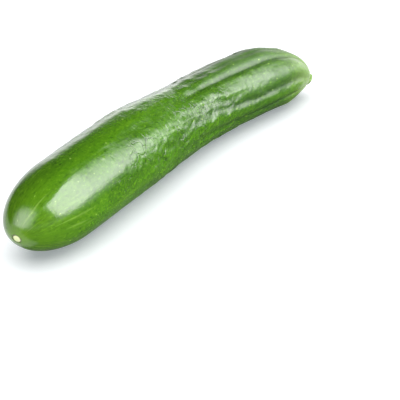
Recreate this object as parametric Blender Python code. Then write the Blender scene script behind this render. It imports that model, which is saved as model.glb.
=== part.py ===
"""A whole slicing cucumber, as picked, lying on a flat surface.

It grew in one piece, so it is one closed body: a UV sphere whose rings are drawn
out along a bent middle line. The plump blossom end, with its small scar, points
along -X. The slimmer stem end, with a short cut stem, points along +X. +Z is up.
The origin lies on the surface, under the middle of the cucumber's box.
All sizes are in metres and all angles are in radians.
"""

import math
from dataclasses import dataclass

import bmesh
import bpy
from mathutils import Vector, noise

NAME = "cucumber"

# Length of the middle line from end to end, without the cut stem
LENGTH = 0.2438

# Radius of the body at these shares of the length, blossom end first
BODY_RADII = (
    (0.00, 0.0200),
    (0.15, 0.0206),
    (0.35, 0.0212),
    (0.60, 0.0189),
    (0.82, 0.0188),
    (1.00, 0.0124),
)

# Bow of the middle line towards +Y, and its S-shaped lean from end to end
BOW = 0.0118
LEAN = 0.0216

# How deep the underside settles into a flat where it lies
SETTLE = 0.0006

# Ribs: how many, and the angle that the furrows between them are counted from
RIBS = 11
RIB_TURN = 1.62

# How unevenly the ribs stand: how far, in how many waves round the body, and from where
UNEVEN = 2.0
UNEVEN_WAVES = 3
UNEVEN_TURN = 1.53

# How the furrows wander: how far, how fast along the length, the share of the length
# where they stand true, and the angle at which they run straight
WANDER = 0.9
WANDER_RATE = 13.0
WANDER_TRUE_AT = 0.67
STRAIGHT_ANGLE = 1.05

# Furrows: how narrow they are, how deep at each end, where they start to deepen and are
# at their full, how much shallower they are along the top, and how narrow that strip is
FURROW_SHARPNESS = 2.6
FURROW_AT_BLOSSOM = 0.00008
FURROW_AT_STEM = 0.00100
FURROWS_START, FURROWS_FULL = 0.34, 0.76
SHALLOWER_ON_TOP = 0.80
TOP_SHARPNESS = 12

# One long hollow beside the top: its angle at each end, its depth and half its width,
# and the shares of the length between which it fades in and out
HOLLOW_RUN = (2.05, 2.14)
HOLLOW = (0.00070, 0.0075)
HOLLOW_FADES_IN = (0.25, 0.35)
HOLLOW_FADES_OUT = (0.85, 0.95)

# Broad swells and small dimples of the skin: height, then length and width. The plump
# end has weaker swells and no dimples, and both are full past the share BUMPS_FULL
SWELL = (0.00042, 0.034, 0.011)
DIMPLE = (0.00036, 0.010, 0.0065)
SWELL_AT_BLOSSOM = 0.4
BUMPS_START, BUMPS_FULL = 0.10, 0.42

# Blossom scar: each ring's radius and lift off the skin, from the middle outwards
SCAR_RINGS = (
    (0.0009, 0.00000),
    (0.0016, -0.00005),
    (0.0020, -0.00035),
    (0.0025, 0.00005),
    (0.0036, 0.00000),
)

# Cut stem: each ring's radius and height past the tip, from the cut face down, and its foot
STEM_RINGS = (
    (0.0013, 0.0019),
    (0.0026, 0.0018),
    (0.0030, 0.0015),
    (0.0031, 0.0005),
    (0.0038, -0.0007),
)
STEM_FOOT = 0.0052

# How far back from a tip the skin is drawn towards a scar or stem that sits off centre
DRAW_LENGTH = 0.020

# Mesh: points round each ring, rings from end to end, and how far the body's
# rings crowd towards the ends (0 is evenly spaced)
POINTS_ROUND = 60
RINGS = 80
CROWDING = 0.6

# Skin colour, as linear red, green and blue
SKIN_COLOUR = (0.098, 0.275, 0.010, 1.0)
SKIN_ROUGHNESS = 0.30


@dataclass(frozen=True)
class End:
    """A rounded end: the tip's share of the length, the way it points along the middle
    line, how far its rounding reaches, and where its scar or stem sits beside the tip."""

    tip: float
    outward: float
    cap: float
    shift: tuple

    def distance(self, along):
        return abs(along - self.tip) * LENGTH

    def depth(self, radius, along):
        """Distance back from the tip to where the rounding is this wide."""
        share = min(radius / body_radius(along), 1.0)
        return self.cap * (1.0 - math.sqrt(1.0 - share * share))

    def place(self, radius):
        """Share of the cucumber's length where the rounding is this wide."""
        return self.tip - self.outward * self.depth(radius, self.tip) / LENGTH


BLOSSOM_END = End(tip=0.0, outward=-1.0, cap=0.0373, shift=(-0.0021, -0.0027))
STEM_END = End(tip=1.0, outward=1.0, cap=0.0240, shift=(-0.0008, -0.0034))


def mix(low, high, share):
    return low + (high - low) * share


def smooth_step(start, end, value):
    share = min(max((value - start) / (end - start), 0.0), 1.0)
    return share * share * (3.0 - 2.0 * share)


def smooth_curve(points, place):
    """Height of a smooth curve through the points, with no overshoot between them."""
    xs, ys = zip(*points)
    rises = [(ys[i + 1] - ys[i]) / (xs[i + 1] - xs[i]) for i in range(len(xs) - 1)]
    slopes = [rises[0]]
    for before, after in zip(rises, rises[1:]):
        level = before * after <= 0.0
        slopes.append(0.0 if level else 2.0 * before * after / (before + after))
    slopes.append(rises[-1])
    i = max(k for k in range(len(rises)) if k == 0 or place >= xs[k])
    width = xs[i + 1] - xs[i]
    share = (place - xs[i]) / width
    bend_in = width * share * (1.0 - share) ** 2 * slopes[i]
    bend_out = width * share * share * (share - 1.0) * slopes[i + 1]
    return mix(ys[i], ys[i + 1], share * share * (3.0 - 2.0 * share)) + bend_in + bend_out


def body_radius(along):
    return smooth_curve(BODY_RADII, along)


def end_rounding(along):
    """Share of the body's radius that is left near the two rounded ends."""
    nearest = min(end.distance(along) / end.cap for end in (BLOSSOM_END, STEM_END))
    return math.sqrt(1.0 - max(1.0 - nearest, 0.0) ** 2)


def middle_line(along):
    """The middle line's point, as high as the body's radius so that it lies flat."""
    across = 2.0 * along - 1.0
    inside = 1.0 - across * across
    side = BOW * inside + LEAN * 0.5 * across * inside
    return Vector(((along - 0.5) * LENGTH, side, body_radius(along)))


def ring_frame(along, step=0.001):
    """The middle line's direction, and the sideways and upward directions of its ring."""
    start, end = max(along - step, 0.0), min(along + step, 1.0)
    forward = (middle_line(end) - middle_line(start)).normalized()
    side = Vector((0.0, 0.0, 1.0)).cross(forward).normalized()
    return forward, side, forward.cross(side)


def furrow(along, angle):
    """1 along the middle of each furrow, falling to 0 on the ribs beside it."""
    swing = math.sin(WANDER_RATE * (WANDER_TRUE_AT - along))
    wander = WANDER * swing * (1.0 - math.cos(angle - STRAIGHT_ANGLE))
    uneven = UNEVEN * math.sin(UNEVEN_WAVES * angle + UNEVEN_TURN)
    wave = 0.5 + 0.5 * math.cos(RIBS * (angle - RIB_TURN) + uneven + wander)
    return wave ** FURROW_SHARPNESS


def furrow_depth(along, angle):
    """Depth of the furrows, growing towards the stem, and less along the top."""
    depth = mix(
        FURROW_AT_BLOSSOM, FURROW_AT_STEM, smooth_step(FURROWS_START, FURROWS_FULL, along)
    )
    return depth * (1.0 - SHALLOWER_ON_TOP * max(math.sin(angle), 0.0) ** TOP_SHARPNESS)


def hollow(along, angle):
    """Depth of the long hollow, which fades out before both ends."""
    depth, half_width = HOLLOW
    beside = abs(angle - mix(*HOLLOW_RUN, along)) * body_radius(along) / half_width
    ends = smooth_step(*HOLLOW_FADES_IN, along) * (1.0 - smooth_step(*HOLLOW_FADES_OUT, along))
    return depth * ends * (1.0 - smooth_step(0.0, 1.0, beside))


def patch(bump, along, angle):
    """Noise of the bump's height, stretched to its length and width."""
    height, length, width = bump
    radius = body_radius(along)
    across = Vector((math.cos(angle), math.sin(angle))) * radius / width
    return height * noise.noise(Vector((along * LENGTH / length, across.x, across.y)))


def relief(along, angle):
    """How far the skin stands out from the smooth body: ribs, hollow, swells and dimples."""
    ribs = -furrow_depth(along, angle) * furrow(along, angle) - hollow(along, angle)
    rough = smooth_step(BUMPS_START, BUMPS_FULL, along)
    swells = mix(SWELL_AT_BLOSSOM, 1.0, rough) * patch(SWELL, along, angle)
    dimples = rough * patch(DIMPLE, along, angle)
    return (ribs + swells + dimples) * end_rounding(along)


def scar_rows():
    """Rings of the blossom scar: place along the cucumber, and lift off the skin."""
    return [(BLOSSOM_END.place(radius), lift) for radius, lift in SCAR_RINGS]


def stem_rows():
    """Rings of the cut stem, from its foot on the skin out to the cut face."""
    rows = [(STEM_END.place(STEM_FOOT), 0.0)]
    for radius, height in reversed(STEM_RINGS):
        rows.append((STEM_END.place(radius), height + STEM_END.depth(radius, 1.0)))
    return rows


def ring_rows():
    """Every ring's place along the cucumber and its lift off the skin, tip to tip."""
    scar, stem = scar_rows(), stem_rows()
    body_rings = RINGS - 1 - len(scar) - len(stem)
    first, last = scar[-1][0], stem[0][0]
    body = []
    for i in range(1, body_rings + 1):
        even = i / (body_rings + 1)
        crowded = 0.5 - 0.5 * math.cos(math.pi * even)
        body.append((mix(first, last, mix(even, crowded, CROWDING)), 0.0))
    scar_middle = (BLOSSOM_END.tip, SCAR_RINGS[0][1])
    stem_middle = (STEM_END.tip, STEM_RINGS[0][1])
    return [scar_middle] + scar + body + stem + [stem_middle]


def skin_point(along, lift, angle):
    """A point of the skin: on its ring, drawn towards the scar or the cut stem."""
    end = BLOSSOM_END if along < 0.5 else STEM_END
    forward, side, up = ring_frame(along)
    around = Vector((math.cos(angle), math.sin(angle)))
    draw = max(1.0 - end.distance(along) / DRAW_LENGTH, 0.0) ** 2
    smooth = around * body_radius(along) * end_rounding(along) + Vector(end.shift) * draw
    back = end.depth(smooth.length, along) - end.distance(along) if draw > 0.0 else 0.0
    across = smooth + around * relief(along, angle)
    outward = forward * end.outward * (lift - back)
    return middle_line(along) + side * across.x + up * across.y + outward


def shape_skin(bm):
    """Draw the unit sphere's rings out to their places on the cucumber's skin."""
    rows = ring_rows()
    for vert in bm.verts:
        ring = round((1.0 - math.acos(max(-1.0, min(1.0, vert.co.z))) / math.pi) * RINGS)
        along, lift = rows[ring]
        vert.co = skin_point(along, lift, math.atan2(vert.co.y, vert.co.x))


def set_down(bm):
    """Flatten the underside where it lies, and centre the cucumber on the origin."""
    floor = min(vert.co.z for vert in bm.verts) + SETTLE
    for vert in bm.verts:
        vert.co.z = max(vert.co.z - floor, 0.0)
    middle = [
        0.5 * (min(vert.co[axis] for vert in bm.verts) + max(vert.co[axis] for vert in bm.verts))
        for axis in (0, 1)
    ]
    bmesh.ops.translate(bm, vec=(-middle[0], -middle[1], 0.0), verts=bm.verts)


def skin_material():
    material = bpy.data.materials.new("cucumber_skin")
    material.use_nodes = True
    shader = material.node_tree.nodes["Principled BSDF"]
    shader.inputs["Base Color"].default_value = SKIN_COLOUR
    shader.inputs["Roughness"].default_value = SKIN_ROUGHNESS
    shader.inputs["Metallic"].default_value = 0.0
    material.diffuse_color = SKIN_COLOUR
    return material


def make_cucumber(collection):
    bm = bmesh.new()
    bmesh.ops.create_uvsphere(bm, u_segments=POINTS_ROUND, v_segments=RINGS, radius=1.0)
    shape_skin(bm)
    set_down(bm)
    mesh = bpy.data.meshes.new(NAME)
    bm.to_mesh(mesh)
    bm.free()
    mesh.shade_smooth()
    mesh.materials.append(skin_material())
    cucumber = bpy.data.objects.new(NAME, mesh)
    collection.objects.link(cucumber)
    return cucumber


for old in list(bpy.data.objects):
    bpy.data.objects.remove(old, do_unlink=True)
parts = bpy.data.collections.new(NAME)
bpy.context.scene.collection.children.link(parts)
make_cucumber(parts)
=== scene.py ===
# %% [markdown]
# # A slicing cucumber
#
# A cucumber is one grown thing: a plump blossom end with a small scar, a long bowed
# body, and a slimmer, ribbed stem end. This lesson draws its peel as one fine mesh
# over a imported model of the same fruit, gives the peel its finish with nodes, and
# lights it with soft boxes over a white floor.

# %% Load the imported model
import math
import random

import bmesh
import bpy
import numpy as np
from mathutils import Matrix, Vector, noise


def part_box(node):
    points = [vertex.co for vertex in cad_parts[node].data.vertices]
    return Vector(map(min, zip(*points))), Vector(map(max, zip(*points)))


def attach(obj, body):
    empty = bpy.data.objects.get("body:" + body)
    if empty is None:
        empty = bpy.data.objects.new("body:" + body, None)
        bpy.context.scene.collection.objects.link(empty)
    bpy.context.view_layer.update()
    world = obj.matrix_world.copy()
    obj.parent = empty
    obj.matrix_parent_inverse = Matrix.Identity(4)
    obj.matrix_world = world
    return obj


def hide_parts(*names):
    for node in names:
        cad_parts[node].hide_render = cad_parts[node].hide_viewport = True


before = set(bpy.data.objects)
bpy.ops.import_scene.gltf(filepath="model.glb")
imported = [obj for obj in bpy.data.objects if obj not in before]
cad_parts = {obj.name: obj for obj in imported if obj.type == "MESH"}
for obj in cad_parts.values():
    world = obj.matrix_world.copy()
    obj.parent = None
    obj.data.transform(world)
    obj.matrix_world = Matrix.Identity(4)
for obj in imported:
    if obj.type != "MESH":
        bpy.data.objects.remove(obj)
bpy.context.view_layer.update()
packed_low, packed_high = (np.array(corner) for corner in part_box("cucumber"))
print("packed cucumber, mm:", np.round((packed_high - packed_low) * 1000, 1))

# %% [markdown]
# ## The body's form
#
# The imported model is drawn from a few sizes: the radius at six places along the
# fruit, how far each end rounds off, and the bow of its middle line. The same sizes
# are repeated here, because a fine peel has to lie on the same form. Everything is
# worked out for all points at once with numpy, which keeps a fine mesh quick.

# %% Sizes of the body, in metres
LENGTH = 0.2438
BODY_RADII = (
    (0.00, 0.0200),
    (0.15, 0.0206),
    (0.35, 0.0212),
    (0.60, 0.0189),
    (0.82, 0.0188),
    (1.00, 0.0124),
)
BLOSSOM_CAP = 0.0373
STEM_CAP = 0.0240
BOW = 0.0118
LEAN = 0.0216
SETTLE = 0.0006


# %% Small helpers for numbers and curves
def mix(low, high, share):
    return low + (high - low) * share


def smooth_step(start, end, value):
    share = np.clip((value - start) / (end - start), 0.0, 1.0)
    return share * share * (3.0 - 2.0 * share)


def smooth_curve(points, places):
    """Heights of a smooth curve through the points, with no overshoot between them."""
    xs, ys = (np.array(row) for row in zip(*points))
    rises = np.diff(ys) / np.diff(xs)
    before, after = rises[:-1], rises[1:]
    total = np.where(before * after > 0.0, before + after, 1.0)
    inner = np.where(before * after > 0.0, 2.0 * before * after / total, 0.0)
    slopes = np.concatenate([rises[:1], inner, rises[-1:]])
    i = np.clip(np.searchsorted(xs, places, side="right") - 1, 0, len(rises) - 1)
    width = xs[i + 1] - xs[i]
    share = (places - xs[i]) / width
    bend_in = width * share * (1.0 - share) ** 2 * slopes[i]
    bend_out = width * share * share * (share - 1.0) * slopes[i + 1]
    return mix(ys[i], ys[i + 1], share * share * (3.0 - 2.0 * share)) + bend_in + bend_out


def body_radius(along):
    return smooth_curve(BODY_RADII, along)


print("radius in mm at the middle:", round(float(body_radius(np.array(0.5))) * 1000, 2))


# %% [markdown]
# ## The bent middle line
#
# A cucumber never grows quite straight. Its middle line bows to one side, most in
# the half towards the stem. Each ring of the peel stands square to that line, so the
# body keeps its thickness round the bend.


# %% Middle line and the directions of each ring
def middle_line(along):
    across = 2.0 * along - 1.0
    inside = 1.0 - across * across
    side = BOW * inside + LEAN * 0.5 * across * inside
    return np.stack([(along - 0.5) * LENGTH, side, body_radius(along)], axis=-1)


def unit(vectors):
    return vectors / np.linalg.norm(vectors, axis=-1, keepdims=True)


def ring_frames(along, step=0.001):
    start, end = np.maximum(along - step, 0.0), np.minimum(along + step, 1.0)
    forward = unit(middle_line(end) - middle_line(start))
    side = unit(np.cross([0.0, 0.0, 1.0], forward))
    return forward, side, np.cross(forward, side)


def tip_distance(along):
    """Distance back from the nearer tip."""
    return np.where(along < 0.5, along, 1.0 - along) * LENGTH


def cap_reach(along):
    return np.where(along < 0.5, BLOSSOM_CAP, STEM_CAP)


def end_rounding(along):
    """Share of the body's radius that is left near the two rounded ends."""
    short = np.maximum(1.0 - tip_distance(along) / cap_reach(along), 0.0)
    return np.sqrt(1.0 - short * short)


def cap_depth(radius, along):
    """Distance back from the tip to where the rounding is this wide."""
    share = np.minimum(radius / body_radius(along), 1.0)
    return cap_reach(along) * (1.0 - np.sqrt(1.0 - share * share))


# %% [markdown]
# ## Ribs, swells and dimples
#
# Eleven blunt ribs run from end to end. They hardly show on the plump blossom end.
# Past the first third the furrows between them deepen and wander, but along the top
# they stay shallow. One long hollow runs along the upper front side, and broad swells
# and small dimples lie over it all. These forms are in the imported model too, so the
# formulas and sizes are the same ones.

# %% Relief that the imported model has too
# HOLLOW is a depth and a half width. SWELL and DIMPLE are a height, a length and a width.
RIBS = 11
RIB_TURN = 1.62
UNEVEN = 2.0
UNEVEN_WAVES = 3
UNEVEN_TURN = 1.53
WANDER = 0.9
WANDER_RATE = 13.0
WANDER_TRUE_AT = 0.67
STRAIGHT_ANGLE = 1.05
FURROW_SHARPNESS = 2.6
FURROW_AT_BLOSSOM = 0.00008
FURROW_AT_STEM = 0.00100
FURROWS_START, FURROWS_FULL = 0.34, 0.76
SHALLOWER_ON_TOP = 0.80
TOP_SHARPNESS = 12
HOLLOW_RUN = (2.05, 2.14)
HOLLOW = (0.00070, 0.0075)
HOLLOW_ENDS = (0.25, 0.95)
CHANNEL_FADE = 0.1
SWELL = (0.00042, 0.034, 0.011)
DIMPLE = (0.00036, 0.010, 0.0065)
SWELL_AT_BLOSSOM = 0.4
BUMPS_START, BUMPS_FULL = 0.10, 0.42


def furrows(along, angle):
    """1 along the middle of each furrow, falling to 0 on the ribs beside it."""
    swing = np.sin(WANDER_RATE * (WANDER_TRUE_AT - along))
    wander = WANDER * swing * (1.0 - np.cos(angle - STRAIGHT_ANGLE))
    uneven = UNEVEN * np.sin(UNEVEN_WAVES * angle + UNEVEN_TURN)
    wave = 0.5 + 0.5 * np.cos(RIBS * (angle - RIB_TURN) + uneven + wander)
    return np.maximum(wave, 0.0) ** FURROW_SHARPNESS


def furrow_depth(along, angle):
    """Depth of the furrows, growing towards the stem, and less along the top."""
    deepening = smooth_step(FURROWS_START, FURROWS_FULL, along)
    on_top = np.maximum(np.sin(angle), 0.0) ** TOP_SHARPNESS
    return mix(FURROW_AT_BLOSSOM, FURROW_AT_STEM, deepening) * (1.0 - SHALLOWER_ON_TOP * on_top)


def channel(along, angle, middle, half_width, start, end):
    """1 along the middle of one lengthwise dip, falling to 0 beside it and past its ends."""
    beside = np.abs(angle - middle) * body_radius(along) / half_width
    fade_in = smooth_step(start, start + CHANNEL_FADE, along)
    fade_out = 1.0 - smooth_step(end - CHANNEL_FADE, end, along)
    return fade_in * fade_out * (1.0 - smooth_step(0.0, 1.0, beside))


def straight_places(along, angle):
    """Each point's place on the same cucumber laid out straight, in metres."""
    radius = body_radius(along)
    return np.stack([along * LENGTH, np.cos(angle) * radius, np.sin(angle) * radius], axis=-1)


def grain(places, length, width):
    """Smooth noise from about -1 to 1, stretched to a length and a width."""
    scaled = places / np.array([length, width, width])
    return np.array([noise.noise(Vector(place)) for place in scaled])


def main_relief(along, angle):
    places = straight_places(along, angle)
    hollow = channel(along, angle, mix(*HOLLOW_RUN, along), HOLLOW[1], *HOLLOW_ENDS)
    ribs = -furrow_depth(along, angle) * furrows(along, angle) - HOLLOW[0] * hollow
    rough = smooth_step(BUMPS_START, BUMPS_FULL, along)
    swells = mix(SWELL_AT_BLOSSOM, 1.0, rough) * SWELL[0] * grain(places, *SWELL[1:])
    dimples = rough * DIMPLE[0] * grain(places, *DIMPLE[1:])
    return (ribs + swells + dimples) * end_rounding(along)


# %% [markdown]
# ## Wrinkles and warts
#
# Past its smooth blossom end the peel has fine creases that break up its shine, most
# on its two sides. One long crease runs along the front side, and low warts stand
# where the young fruit had spines. A fine crease is where a noise passes through
# zero, so it runs on as a thin wavering line. The noise is read at places that a
# second noise has pushed about, which keeps the lines from looking regular. Blender
# starts that second noise from the clock, so it is given a seed, and every run draws
# the same peel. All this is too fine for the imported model, so it is only here.

# %% Relief that only the fine peel has
# LUMP, CREASE, PUCKER and RIPPLE are a height, a length and a width, in metres.
WRINKLES_START, WRINKLES_FULL = 0.16, 0.46
CALMER_START, CALMER_END = 0.58, 0.80
CALMER_SHARE = 0.5
FRONT_START, FRONT_FULL = 0.5, 0.9
SHARE_OFF_THE_FRONT = 0.3
BACK_RUN_START, BACK_RUN_FULL = 0.08, 0.30
BACK_START, BACK_FULL = 0.15, 0.50
PUSH_REACH, PUSH_SIZE = 0.0030, 0.012
PUSH_SEED = 7
LUMP = (0.00048, 0.0105, 0.0058)
LUMP_LEVEL = 0.2
CREASE = (0.00020, 0.0042, 0.0090)
CREASE_WIDTH = 0.16
CREASE_RUN = ((0.42, 2.41), (0.48, 2.44), (0.59, 2.51), (0.64, 2.64), (0.74, 2.76))
LONG_CREASE = (0.00060, 0.0030)
PUCKER = (0.00037, 0.0044, 0.0030)
RIPPLE = (0.00007, 0.0026, 0.0020)
RIPPLE_WHERE_SMOOTH = 0.50
WARTS = 90
WART_RUN = (0.12, 0.95)
WART_HEIGHT = 0.00016
WART_RADIUS = 0.0011
WART_SIZES = (0.6, 1.3)


def wrinkled(along, angle):
    """How wrinkled the peel is: most on the two sides, round the middle of its length."""
    on_front = smooth_step(FRONT_START, FRONT_FULL, -np.cos(angle))
    front = smooth_step(WRINKLES_START, WRINKLES_FULL, along) * mix(SHARE_OFF_THE_FRONT, 1.0, on_front)
    on_back = smooth_step(BACK_START, BACK_FULL, np.cos(angle))
    back = smooth_step(BACK_RUN_START, BACK_RUN_FULL, along) * on_back
    calmer = mix(1.0, CALMER_SHARE, smooth_step(CALMER_START, CALMER_END, along))
    return np.maximum(front, back) * calmer


def pushed(places, reach, size):
    """The places, each pushed about by a slow noise."""
    noise.seed_set(PUSH_SEED)
    shifts = [noise.noise_vector(Vector(place)) for place in places / size]
    return places + reach * np.array(shifts)


def wart_mask(places, seed=7):
    """1 on the top of each wart, falling to 0 at its foot."""
    draw = random.Random(seed)
    mask = np.zeros(len(places))
    for _ in range(WARTS):
        along = np.array(draw.uniform(*WART_RUN))
        top = straight_places(along, np.array(draw.uniform(-math.pi, math.pi)))
        radius = WART_RADIUS * draw.uniform(*WART_SIZES)
        distance = np.linalg.norm(places - top, axis=-1) / radius
        mask = np.maximum(mask, np.clip(1.0 - distance, 0.0, 1.0))
    return mask * mask * (3.0 - 2.0 * mask)


def fine_relief(along, angle, warts):
    places = pushed(straight_places(along, angle), PUSH_REACH, PUSH_SIZE)
    crease = np.clip(1.0 - np.abs(grain(places, *CREASE[1:])) / CREASE_WIDTH, 0.0, 1.0)
    creases = -CREASE[0] * crease * crease
    lumps = LUMP[0] * (np.abs(grain(places, *LUMP[1:])) - LUMP_LEVEL)
    puckers = PUCKER[0] * grain(places, *PUCKER[1:])
    ripples = RIPPLE[0] * grain(places, *RIPPLE[1:])
    rough = wrinkled(along, angle)
    fine = rough * (creases + puckers + lumps) + mix(RIPPLE_WHERE_SMOOTH, 1.0, rough) * ripples
    depth, half_width = LONG_CREASE
    start, end = CREASE_RUN[0][0], CREASE_RUN[-1][0]
    run = smooth_curve(CREASE_RUN, along)
    fine = fine - depth * channel(along, angle, run, half_width, start, end)
    return (fine + warts * WART_HEIGHT) * end_rounding(along)


# %% [markdown]
# ## The two ends
#
# The flower leaves a round, pale scar with a thin groove round it. It sits a little
# below the tip's middle. The other end has the short stem that the fruit was cut
# from. Both are rings of the same mesh, each with a radius and a lift off the
# rounding, so the peel runs into them without a seam.

# %% Rings of the scar and of the cut stem, in metres
SCAR_SHIFT = (-0.0021, -0.0027)
SCAR_RINGS = (
    (0.0009, 0.00000),
    (0.0016, -0.00005),
    (0.0020, -0.00035),
    (0.0025, 0.00005),
    (0.0036, 0.00000),
)
STEM_SHIFT = (-0.0008, -0.0034)
STEM_RINGS = (
    (0.0013, 0.0019),
    (0.0026, 0.0018),
    (0.0030, 0.0015),
    (0.0031, 0.0005),
    (0.0038, -0.0007),
)
STEM_FOOT = 0.0052
DRAW_LENGTH = 0.020
STEPS_BETWEEN_RINGS = 4


def finer(rings):
    """The rings with smooth steps between them, from the middle outwards."""
    last = len(rings) - 1
    steps = np.linspace(0.0, last, last * STEPS_BETWEEN_RINGS + 1)
    return [smooth_curve(list(enumerate(column)), steps) for column in zip(*rings)]


def scar_rows():
    radii, lifts = finer(((0.0, SCAR_RINGS[0][1]),) + SCAR_RINGS)
    return cap_depth(radii, 0.0) / LENGTH, lifts


def stem_rows():
    foot_height = -float(cap_depth(STEM_FOOT, 1.0))
    radii, heights = finer(((0.0, STEM_RINGS[0][1]),) + STEM_RINGS + ((STEM_FOOT, foot_height),))
    depths = cap_depth(radii, 1.0)
    return 1.0 - depths[::-1] / LENGTH, (heights + depths)[::-1]


# %% [markdown]
# ## Drawing the peel
#
# The mesh starts as a UV sphere with its poles at the two tips. Each of its rings is
# then drawn out to its place along the fruit. The rings crowd towards the ends,
# where the form turns quickly. Points a little over half a millimetre apart are fine
# enough for the creases, and keep the mesh under a hundred thousand faces.

# %% Where each ring goes
POINTS_ROUND = 240
RINGS = 396
CROWDING = 0.35


def ring_rows():
    (scar_along, scar_lift), (stem_along, stem_lift) = scar_rows(), stem_rows()
    count = RINGS + 1 - len(scar_along) - len(stem_along)
    even = np.arange(1, count + 1) / (count + 1)
    crowded = 0.5 - 0.5 * np.cos(math.pi * even)
    body = mix(scar_along[-1], stem_along[0], mix(even, crowded, CROWDING))
    along = np.concatenate([scar_along, body, stem_along])
    return along, np.concatenate([scar_lift, np.zeros(count), stem_lift])


def peel_points(along, lift, angle, relief):
    """Points of the peel, drawn towards the scar or the stem near each tip."""
    forward, side, up = ring_frames(along)
    around = np.stack([np.cos(angle), np.sin(angle)], axis=-1)
    draw = np.maximum(1.0 - tip_distance(along) / DRAW_LENGTH, 0.0) ** 2
    at_blossom = (along < 0.5)[:, None]
    shift = np.where(at_blossom, SCAR_SHIFT, STEM_SHIFT)
    smooth = around * (body_radius(along) * end_rounding(along))[:, None] + shift * draw[:, None]
    reached = cap_depth(np.linalg.norm(smooth, axis=-1), along)
    back = np.where(draw > 0.0, reached - tip_distance(along), 0.0)
    across = smooth + around * relief[:, None]
    outward = np.where(at_blossom, -forward, forward) * (lift - back)[:, None]
    return middle_line(along) + side * across[:, :1] + up * across[:, 1:] + outward


# %% Make the mesh
def sphere_mesh(name):
    bm = bmesh.new()
    bmesh.ops.create_uvsphere(bm, u_segments=POINTS_ROUND, v_segments=RINGS, radius=1.0)
    mesh = bpy.data.meshes.new(name)
    bm.to_mesh(mesh)
    bm.free()
    mesh.shade_smooth()
    return mesh


def sphere_places(mesh):
    """Each point's ring number, counted from the blossom end, and its angle."""
    points = np.empty(len(mesh.vertices) * 3, dtype=np.float32)
    mesh.vertices.foreach_get("co", points)
    x, y, z = points.reshape(-1, 3).T.astype(float)
    rings = np.rint((1.0 - np.arccos(np.clip(z, -1.0, 1.0)) / math.pi) * RINGS)
    return rings.astype(int), np.arctan2(y, x)


peel_mesh = sphere_mesh("peel")
ring_number, angle = sphere_places(peel_mesh)
row_along, row_lift = ring_rows()
along, lift = row_along[ring_number], row_lift[ring_number]
warts = wart_mask(straight_places(along, angle))
relief = main_relief(along, angle) + fine_relief(along, angle, warts)
points = peel_points(along, lift, angle, relief)
print("peel:", len(points), "points,", len(peel_mesh.polygons), "faces")

# %% [markdown]
# ## Setting it down
#
# The underside settles 0.6 mm into a narrow flat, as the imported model's does. The
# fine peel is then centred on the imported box, and drawn in by a hair where it would
# stand outside it.

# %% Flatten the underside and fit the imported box
points[:, 2] = np.maximum(points[:, 2] - points[:, 2].min() - SETTLE, 0.0)
low, high = points.min(axis=0), points.max(axis=0)
shrink = np.minimum((packed_high - packed_low) / (high - low), 1.0)
middle = np.array([*((low + high) / 2.0)[:2], 0.0])
packed_middle = np.array([*((packed_low + packed_high) / 2.0)[:2], 0.0])
points = (points - middle) * shrink + packed_middle
chord_middle = (packed_middle - middle)[:2]
peel_mesh.vertices.foreach_set("co", points.astype(np.float32).ravel())
peel_mesh.update()
peel = bpy.data.objects.new("peel", peel_mesh)
bpy.context.scene.collection.objects.link(peel)
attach(peel, "root")
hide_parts("cucumber")
print("drawn in by:", np.round(1.0 - shrink, 5))
print("middle of the chord, mm:", np.round(chord_middle * 1000, 2))

# %% [markdown]
# ## What the finish needs to know
#
# Nodes can't see which part of the fruit they are on, so each point carries a few
# facts: its place on the straightened fruit, how deep it is in a furrow, whether it
# is on a wart, and how wide its ring is near each end. They are stored as attributes
# of the mesh, and the finish reads them by name.


# %% Facts stored on the points
def store(name, values):
    kind = "FLOAT_VECTOR" if values.ndim == 2 else "FLOAT"
    layer = peel_mesh.attributes.new(name, kind, "POINT")
    layer.data.foreach_set("vector" if values.ndim == 2 else "value", values.astype(np.float32).ravel())


ring_radius = body_radius(along) * end_rounding(along)
store("straight", straight_places(along, angle))
store("along", along)
store("angle", angle)
store("furrow", furrows(along, angle) * furrow_depth(along, angle) / FURROW_AT_STEM)
store("wart", warts)
store("scar_radius", np.where(along < 0.5, ring_radius, 1.0))
store("stem_radius", np.where(along > 0.5, ring_radius, 1.0))
print("attributes:", [layer.name for layer in peel_mesh.attributes if not layer.is_internal])

# %% [markdown]
# ## Writing shader sums as Python
#
# A finish is a network of nodes. Written node by node it is long and hard to read,
# so a small class wraps a socket and lets it be added and multiplied like a number.
# Each sum adds a Math node. Every other node comes from one method, which
# takes the node's type, its settings and what goes into its sockets.


# %% A wire that can be added and multiplied
class Wire:
    def __init__(self, board, socket):
        self.board, self.socket = board, socket

    def sum(self, operation, *values):
        return self.board.node("Math", {"operation": operation}, dict(enumerate(values)))

    def __add__(self, other):
        return self.sum("ADD", self, other)

    def __sub__(self, other):
        return self.sum("SUBTRACT", self, other)

    def __rsub__(self, other):
        return self.sum("SUBTRACT", other, self)

    def __mul__(self, other):
        return self.sum("MULTIPLY", self, other)

    def __abs__(self):
        return self.sum("ABSOLUTE", self)

    def sine(self):
        return self.sum("SINE", self)

    def cosine(self):
        return self.sum("COSINE", self)

    __radd__ = __add__
    __rmul__ = __mul__

    def between(self, start, end):
        """0 at start, 1 at end, and a smooth step from one to the other."""
        sockets = {"Value": self, "From Min": start, "From Max": end}
        return self.board.node("MapRange", {"interpolation_type": "SMOOTHSTEP"}, sockets)


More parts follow.
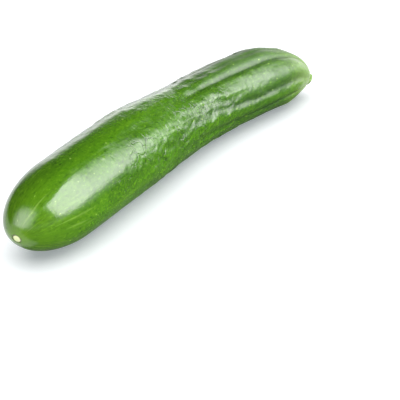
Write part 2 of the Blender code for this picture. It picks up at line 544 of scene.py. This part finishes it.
# %% A board that nodes are put on
class Board:
    def __init__(self, tree):
        self.tree = tree

    def node(self, kind, settings, sockets, out=0):
        """Add a node: its settings are set first, then its sockets' values and links."""
        made = self.tree.nodes.new("ShaderNode" + kind)
        for name, value in settings.items():
            setattr(made, name, value)
        for name, value in sockets.items():
            self.join(value, made.inputs[name])
        return Wire(self, made.outputs[out])

    def join(self, value, socket):
        if isinstance(value, Wire):
            self.tree.links.new(value.socket, socket)
        else:
            socket.default_value = value


# %% A finish made of nodes
class Finish(Board):
    def __init__(self, name):
        self.material = bpy.data.materials.new(name)
        self.material.use_nodes = True
        super().__init__(self.material.node_tree)
        self.shader = self.tree.nodes["Principled BSDF"]

    def fact(self, name, out="Fac"):
        return self.node("Attribute", {"attribute_name": name}, {}, out)

    def stretched(self, places, length, width):
        scale = (1.0 / length, 1.0 / width, 1.0 / width)
        settings = {"operation": "MULTIPLY"}
        return self.node("VectorMath", settings, {0: places, 1: scale}, "Vector")

    def noise(self, places, length, width, detail=2.0, roughness=0.5):
        sockets = {"Vector": self.stretched(places, length, width), "Scale": 1.0}
        sockets.update({"Detail": detail, "Roughness": roughness})
        return self.node("TexNoise", {}, sockets)

    def cells(self, places, length, width, feature="F1"):
        sockets = {"Vector": self.stretched(places, length, width), "Scale": 1.0}
        return self.node("TexVoronoi", {"feature": feature}, sockets)

    def blend(self, under, over, share):
        return self.node("Mix", {"data_type": "RGBA"}, {0: share, 6: under, 7: over}, 2)

    def bump(self, height, distance):
        return self.node("Bump", {}, {"Height": height, "Distance": distance, "Strength": 1.0})

    def fix(self, constants):
        """Set the shader's sockets that hold one value for the whole surface."""
        for name, value in constants.items():
            self.shader.inputs[name].default_value = value

    def wear(self, *objects):
        for thing in objects:
            thing.data.materials.clear()
            thing.data.materials.append(self.material)
        print(self.material.name, "has", len(self.tree.nodes), "nodes")


# %% [markdown]
# ## The peel's greens
#
# The peel is a deep grass green, lighter in long thin streaks. It is darker in the
# furrows, which is painted shade. The half towards the stem is a deeper green, and the
# stem tip is painted paler, a painted haze of the light it mirrors. Each of these is a
# mask, and each mask blends one more green over what is there.

# %% Greens, as linear red, green and blue
DEEP_GREEN_AND_SHADE = (0.005, 0.021, 0.001, 1.0)
GRASS_GREEN = (0.0235, 0.0715, 0.0014, 1.0)
LIGHT_GREEN = (0.063, 0.134, 0.0045, 1.0)
BRIGHT_SPECK = (0.150, 0.300, 0.012, 1.0)
PALE_FLECK_AND_SHEEN = (0.160, 0.240, 0.050, 1.0)
SCAR_CREAM = (0.420, 0.460, 0.240, 1.0)
SCAR_RING_AND_SHADE = (0.040, 0.042, 0.010, 1.0)
STEM_GREEN = (0.060, 0.110, 0.015, 1.0)
CUT_FACE = (0.260, 0.290, 0.120, 1.0)

skin = Finish("peel_green")
straight = skin.fact("straight", "Vector")
along_wire = skin.fact("along")
furrow_wire = skin.fact("furrow")
wart_wire = skin.fact("wart")
angle_wire = skin.fact("angle")
rough_part = along_wire.between(WRINKLES_START, WRINKLES_FULL)

# %% Broad changes of green
clouds = skin.noise(straight, 0.045, 0.016, detail=2.0)
green = skin.blend(GRASS_GREEN, DEEP_GREEN_AND_SHADE, clouds.between(0.45, 0.75) * 0.55)
streaks = skin.noise(straight, 0.060, 0.0032, detail=3.0, roughness=0.6)
green = skin.blend(green, LIGHT_GREEN, streaks.between(0.52, 0.78) * 0.35)
# Painted shade: the peel is darkened along the furrows.
green = skin.blend(green, DEEP_GREEN_AND_SHADE, furrow_wire * 0.8)
green = skin.blend(green, DEEP_GREEN_AND_SHADE, along_wire.between(0.40, 0.70) * 0.32)
# Painted reflection: the stem tip is made paler for the haze of light that it mirrors.
green = skin.blend(green, PALE_FLECK_AND_SHEEN, along_wire.between(0.86, 1.00) * 0.35)

# %% [markdown]
# ## Mottling and flecks
#
# Close up the peel is finely mottled, with bright specks, and with scattered pale
# flecks where it breathes. A fine noise gives the mottling. The flecks are round, so
# they are the middles of Voronoi cells, and a slow noise makes some larger than
# others. The blossom end is a lighter green, which is blended in first.

# %% Fine mottling, bright specks and pale flecks
near_tip = 1.0 - along_wire.between(0.0, 0.17)
green = skin.blend(green, LIGHT_GREEN, near_tip * 0.25)
mottle = skin.noise(straight, 0.0022, 0.0015, detail=3.0, roughness=0.7)
green = skin.blend(green, LIGHT_GREEN, mottle.between(0.50, 0.72) * 0.32)
green = skin.blend(green, DEEP_GREEN_AND_SHADE, (1.0 - mottle).between(0.52, 0.72) * 0.55)
specks = skin.noise(straight, 0.0014, 0.0010, detail=1.0)
green = skin.blend(green, BRIGHT_SPECK, specks.between(0.62, 0.76) * 0.16)
fleck_cells = skin.cells(straight, 0.0060, 0.0050)
fleck_size = skin.noise(straight, 0.02, 0.01).between(0.35, 0.75) * 0.05 + 0.03
flecks = 1.0 - fleck_cells.between(fleck_size, fleck_size + 0.05)
green = skin.blend(green, PALE_FLECK_AND_SHEEN, flecks * 0.55)
green = skin.blend(green, LIGHT_GREEN, wart_wire * 0.5)

# %% [markdown]
# ## Fine cracks
#
# Where the sides are wrinkled the skin has thin cracks, bumped into the peel. Their
# dark colour is painted shade, and it lies only on the two flanks, which on the front
# take in where the long reflection falls. They are the edges of Voronoi cells. Those
# edges are straight, so the places that they are read at are first moved a little by a
# noise, and the cracks waver. Patches of a slower noise keep them from covering the
# whole side.

# %% Cracks where the peel is wrinkled
drift = skin.node("TexNoise", {}, {"Vector": straight, "Scale": 160.0, "Detail": 2.0}, "Color")
drift = skin.node("VectorMath", {"operation": "SUBTRACT"}, {0: drift, 1: (0.5, 0.5, 0.5)}, "Vector")
drift = skin.node("VectorMath", {"operation": "SCALE"}, {0: drift, "Scale": 0.006}, "Vector")
wavy = skin.node("VectorMath", {"operation": "ADD"}, {0: straight, 1: drift}, "Vector")
crack_edges = skin.cells(wavy, 0.0042, 0.0062, feature="DISTANCE_TO_EDGE")
crack_patches = skin.noise(straight, 0.012, 0.008, detail=1.0).between(0.44, 0.62)
side_wire = abs(angle_wire.cosine()).between(0.52, 0.68)
cracks_and_shade = (1.0 - crack_edges.between(0.0, 0.07)) * crack_patches * side_wire
cracks_and_shade = cracks_and_shade * along_wire.between(0.12, 0.40) * (1.0 - along_wire.between(0.55, 0.80))
# Painted shade: the cracks are darkened in colour as well as bumped.
green = skin.blend(green, DEEP_GREEN_AND_SHADE, cracks_and_shade * 0.8)

# %% [markdown]
# ## Light lines round the scar
#
# Thin light lines run out from the blossom scar and fade within the first fifth of
# the fruit. They are a noise that changes fast round the fruit and slowly along it,
# so its spots are drawn out into streaks. The green round the scar is lighter too.

# %% Light lines from the blossom scar
scar_radius = skin.fact("scar_radius")
spread = skin.node("CombineXYZ", {}, {"X": angle_wire * 9.0, "Y": along_wire * 6.0})
lines = skin.node("TexNoise", {}, {"Vector": spread, "Scale": 1.0, "Detail": 3.0, "Roughness": 0.6})
near_scar = 1.0 - along_wire.between(0.01, 0.22)
green = skin.blend(green, PALE_FLECK_AND_SHEEN, lines.between(0.56, 0.70) * near_scar * 0.30)
halo = 1.0 - scar_radius.between(SCAR_RINGS[-1][0] * 0.8, SCAR_RINGS[-1][0] * 2.4)
green = skin.blend(green, LIGHT_GREEN, halo * 0.75)

# %% [markdown]
# ## Colours of the scar and the cut stem
#
# The scar is a pale, corky disc inside a groove. The groove's dark colour is partly its
# own brown and partly painted shade. The stem is a duller green and ends in a pale cut
# face. Each point near an end knows how wide its ring is, so the sizes of the scar's and
# the stem's rings say where one colour stops.

# %% The scar and the cut stem
ring_mask = 1.0 - scar_radius.between(SCAR_RINGS[2][0], SCAR_RINGS[3][0] * 1.05)
# Partly painted shade: the groove round the scar is darkened, partly for its own brown.
green = skin.blend(green, SCAR_RING_AND_SHADE, ring_mask * 0.9)
disc_mask = 1.0 - scar_radius.between(SCAR_RINGS[1][0], SCAR_RINGS[2][0])
disc_grain = skin.noise(straight, 0.0006, 0.0006, detail=2.0)
cream = skin.blend(SCAR_CREAM, LIGHT_GREEN, disc_grain.between(0.5, 0.8) * 0.4)
green = skin.blend(green, cream, disc_mask)
stem_radius = skin.fact("stem_radius")
stem_mask = 1.0 - stem_radius.between(STEM_RINGS[4][0], STEM_FOOT)
green = skin.blend(green, STEM_GREEN, stem_mask)
face_mask = 1.0 - stem_radius.between(STEM_RINGS[1][0], STEM_RINGS[2][0])
green = skin.blend(green, CUT_FACE, face_mask)

# %% [markdown]
# ## Shine and grain
#
# The peel has a thin wax bloom over a moist skin. At the blossom end it is smooth
# enough to mirror the edge of a light. Towards the stem its fine grain scatters that
# mirror, most along the top. The roughness therefore grows along the fruit, and a
# bump adds pores, fine lines and the cracks, which are smaller than the spaces
# between the mesh's points.

# %% Roughness
mild = skin.noise(straight, 0.012, 0.006, detail=2.0)
far_end = along_wire.between(0.52, 0.86)
on_top = angle_wire.sine().between(0.86, 0.97)
roughness = 0.15 + rough_part * 0.03 + (mild - 0.5) * 0.10 + furrow_wire * 0.08
roughness = roughness + far_end * (on_top * 0.20 + 0.17)
roughness = roughness + (disc_mask + stem_mask) * 0.3

# %% Bump, and what goes into the shader
GRAIN_HEIGHT = 0.00024
pores = skin.noise(straight, 0.0013, 0.0010, detail=2.0, roughness=0.6)
lines_along = skin.noise(straight, 0.0140, 0.0012, detail=2.0)
lines_across = skin.noise(straight, 0.0010, 0.0100, detail=2.0)
height = pores * 0.35 + lines_along * 0.35 + lines_across * 0.35
height = height * (rough_part * 0.6 + 0.5) * (1.0 - far_end * 0.6) - cracks_and_shade * 0.6
grain_bump = skin.bump(height, GRAIN_HEIGHT)
skin.join(green, skin.shader.inputs["Base Color"])
skin.join(roughness, skin.shader.inputs["Roughness"])
skin.join(grain_bump, skin.shader.inputs["Normal"])
skin.fix({"IOR": 1.5, "Subsurface Weight": 0.08, "Subsurface Scale": 0.002})
skin.fix({"Subsurface Radius": (0.6, 1.0, 0.3)})
skin.wear(peel)

# %% [markdown]
# ## Floor and camera
#
# The fruit lies on a plain white floor that fills the camera's picture. The camera
# stands 70 cm away with a long lens, 29 degrees above the floor, and looks along the
# fruit from the front of its blossom end. Right and ahead are the camera's own
# directions on the floor, and the lights are placed by them too. The camera aims a
# little beside the fruit, and CHORD_FROM_AIM says where the fruit is from there.

# %% The camera's directions on the floor
PICTURE_WIDTH = 400
CAMERA_DISTANCE = 0.70
CAMERA_HEIGHT = math.radians(29.0)
CAMERA_TURN = math.radians(52.9)
LENS_IN_PIXELS = 1400.0
SENSOR = 36.0
CHORD_FROM_AIM = (-0.0115, 0.0305)

right = Vector((math.cos(CAMERA_TURN), -math.sin(CAMERA_TURN), 0.0))
ahead = Vector((math.sin(CAMERA_TURN), math.cos(CAMERA_TURN), 0.0))
upward = Vector((0.0, 0.0, 1.0))
aim = Vector((*chord_middle, 0.0)) - right * CHORD_FROM_AIM[0] - ahead * CHORD_FROM_AIM[1]

# %% Camera
lens_direction = ahead * math.cos(CAMERA_HEIGHT) - upward * math.sin(CAMERA_HEIGHT)
camera = bpy.data.objects.new("camera", bpy.data.cameras.new("camera"))
camera.data.sensor_width = SENSOR
camera.data.lens = SENSOR * LENS_IN_PIXELS / PICTURE_WIDTH
camera.location = aim - lens_direction * CAMERA_DISTANCE
camera.rotation_euler = lens_direction.to_track_quat("-Z", "Y").to_euler()
bpy.context.scene.collection.objects.link(camera)
bpy.context.scene.camera = camera
print("camera at", [round(c, 3) for c in camera.location], "lens", camera.data.lens)

# %% Floor
FLOOR_REACH = 4.0
PAPER_WHITE = (0.80, 0.805, 0.815, 1.0)
PAPER_GLOW = (0.88, 0.94, 1.0, 1.0)
PAPER_GLOW_LEVEL = 0.34


def flat_sheet(name, low, high, height):
    """A flat sheet between two corners of the floor, at the given height."""
    sheet_mesh = bpy.data.meshes.new(name)
    maker = bmesh.new()
    bmesh.ops.create_grid(maker, x_segments=1, y_segments=1, size=0.5)
    maker.to_mesh(sheet_mesh)
    maker.free()
    sheet = bpy.data.objects.new(name, sheet_mesh)
    sheet.scale = (high[0] - low[0], high[1] - low[1], 1.0)
    sheet.location = ((low[0] + high[0]) / 2.0, (low[1] + high[1]) / 2.0, height)
    bpy.context.scene.collection.objects.link(sheet)
    return sheet


floor = flat_sheet("floor", (-FLOOR_REACH, -FLOOR_REACH), (FLOOR_REACH, FLOOR_REACH), 0.0)
paper = Finish("white_floor")
paper_grain = paper.noise(paper.node("TexCoord", {}, {}, "Object"), 0.02, 0.02)
paper.join(paper_grain * 0.02 + 0.6, paper.shader.inputs["Roughness"])
paper.fix({"Base Color": PAPER_WHITE, "Specular IOR Level": 0.2})
paper.fix({"Emission Color": PAPER_GLOW, "Emission Strength": PAPER_GLOW_LEVEL})
paper.wear(floor)

# %% [markdown]
# ## A dark card in front
#
# A glossy side that faces a white floor mirrors it and turns milky. A photographer
# lays a dark card there, out of the picture. This card lies just above the floor in
# front of the fruit, with a narrower flap that reaches under its edge. The camera
# doesn't see it and it throws no shadow, so it only shows as what the peel mirrors.

# %% The card and its flap
CARD_HEIGHT = 0.0008
# Painted reflection: the card's dark green and faint glow set how dark the peel's front side mirrors.
CARD_GREEN = (0.02, 0.03, 0.02, 1.0)
CARD_GLOW = (0.8, 1.0, 0.7, 1.0)
CARD_GLOW_LEVEL = 0.22

card = flat_sheet("dark_card", (-0.26, -0.30), (0.20, -0.022), CARD_HEIGHT)
card_flap = flat_sheet("dark_card_flap", (-0.118, -0.022), (0.115, -0.002), CARD_HEIGHT)
for sheet in (card, card_flap):
    for sees in ("visible_camera", "visible_diffuse", "visible_shadow"):
        setattr(sheet, sees, False)
dark = Finish("dark_card")
dark.fix({"Base Color": CARD_GREEN})
dark.fix({"Emission Color": CARD_GLOW, "Emission Strength": CARD_GLOW_LEVEL})
dark.wear(card, card_flap)

# %% [markdown]
# ## Light
#
# Most of what makes a peel look moist is what it mirrors. Here that is three soft
# boxes: one that leans over from the right and makes the long reflection, a weaker
# one behind the camera's left for the soft shine on the blossom end, and a low one
# beyond the fruit that draws the pale rim. A fourth, low at the right, lights the
# front side and isn't mirrored. Each is given by its turn from the camera's line of
# sight, and by how far away and how high its foot and its head are.


# %% Soft boxes
def soft_box(name, turn, foot, head, width, brightness, soft):
    """A leaning rectangular light. Its foot and head are (distance, height). Soft is how
    far it fades in from its right, left, bottom and top, as shares of its size, where
    right and left are those of someone at the fruit who faces the light."""
    away = right * math.sin(math.radians(turn)) + ahead * math.cos(math.radians(turn))
    low, high = (aim + away * reach + upward * rise for reach, rise in (foot, head))
    across, up = upward.cross(away), (high - low).normalized()
    facing = across.cross(up)
    light = bpy.data.lights.new(name, "AREA")
    light.shape, light.size, light.size_y = "RECTANGLE", width, (high - low).length
    light.energy = brightness * math.pi * light.size * light.size_y
    fade_edges(light, soft)
    box = bpy.data.objects.new(name, light)
    turned = Matrix((across, up, facing)).transposed().to_4x4()
    box.matrix_world = Matrix.Translation((low + high) / 2.0) @ turned
    box.visible_camera = False
    bpy.context.scene.collection.objects.link(box)
    print(name, "shines along", [round(c, 2) for c in -facing], "with", round(light.energy, 1), "W")
    return box


def fade_edges(light, soft):
    light.use_nodes = True
    board = Board(light.node_tree)
    place = board.node("NewGeometry", {}, {}, "Parametric")
    split = board.node("SeparateXYZ", {}, {"Vector": place})
    x, y = (Wire(board, split.socket.node.outputs[out]) for out in "XY")
    level = 1.0
    for inwards, share in zip((x, 1.0 - x, y, 1.0 - y), soft):
        level = inwards.between(0.0, share) * level
    board.join(level, light.node_tree.nodes["Emission"].inputs["Strength"])


key_box = soft_box("key_box", turn=91.0, foot=(0.85, 0.01), head=(0.34, 0.93), width=1.34,
                   brightness=11.2, soft=(0.06, 0.52, 0.22, 0.05))
fill_box = soft_box("fill_box", turn=-145.0, foot=(1.00, 0.01), head=(0.55, 1.15), width=1.90,
                    brightness=6.4, soft=(0.45, 0.45, 0.12, 0.45))
rim_box = soft_box("rim_box", turn=8.0, foot=(1.00, 0.01), head=(1.00, 0.48), width=2.40,
                   brightness=4.0, soft=(0.05, 0.60, 0.02, 0.75))
bounce_box = soft_box("bounce_box", turn=122.0, foot=(0.90, 0.01), head=(0.90, 0.36), width=1.00,
                      brightness=15.0, soft=(0.20, 0.20, 0.20, 0.20))
bounce_box.visible_glossy = False

# %% [markdown]
# ## A white floor that stays quiet
#
# The boxes are so bright that they would burn a white floor out, and the burnt floor
# would shine back on the peel's underside. So the boxes light the fruit alone, and
# the floor has a light of its own overhead. Light linking does that: each light gets
# a collection of the things that it may light.


# %% Choose what each light reaches
def light_only(lights, things):
    group = bpy.data.collections.new("lit_by_" + lights[0].name)
    for thing in things:
        group.objects.link(thing)
    for light in lights:
        light.light_linking.receiver_collection = group
    print(group.name, "holds", [thing.name for thing in things])


floor_light = soft_box("floor_light", turn=180.0, foot=(3.0, 3.0), head=(-3.0, 3.0), width=6.0,
                       brightness=2.4, soft=(0.01, 0.01, 0.01, 0.01))
light_only([floor_light], [floor])
light_only([key_box, fill_box, rim_box, bounce_box], [peel])

# %% [markdown]
# ## The room and the picture
#
# Round the floor and the boxes there is only a dim, even room, which lifts the
# darkest places a little. The picture shows its colours without a film look, so the
# greens stay near the values that were chosen for them.

# %% The room
ROOM_LEVEL = 0.06
world = bpy.data.worlds.new("studio")
world.use_nodes = True
world.node_tree.nodes["Background"].inputs["Strength"].default_value = ROOM_LEVEL
world.node_tree.nodes["Background"].inputs["Color"].default_value = (1.0, 1.0, 1.0, 1.0)
bpy.context.scene.world = world
print("room level:", ROOM_LEVEL)

# %% Picture colours
view = bpy.context.scene.view_settings
view.view_transform = "Standard"
view.look = "None"
print("picture colours:", view.view_transform, "with look", view.look)
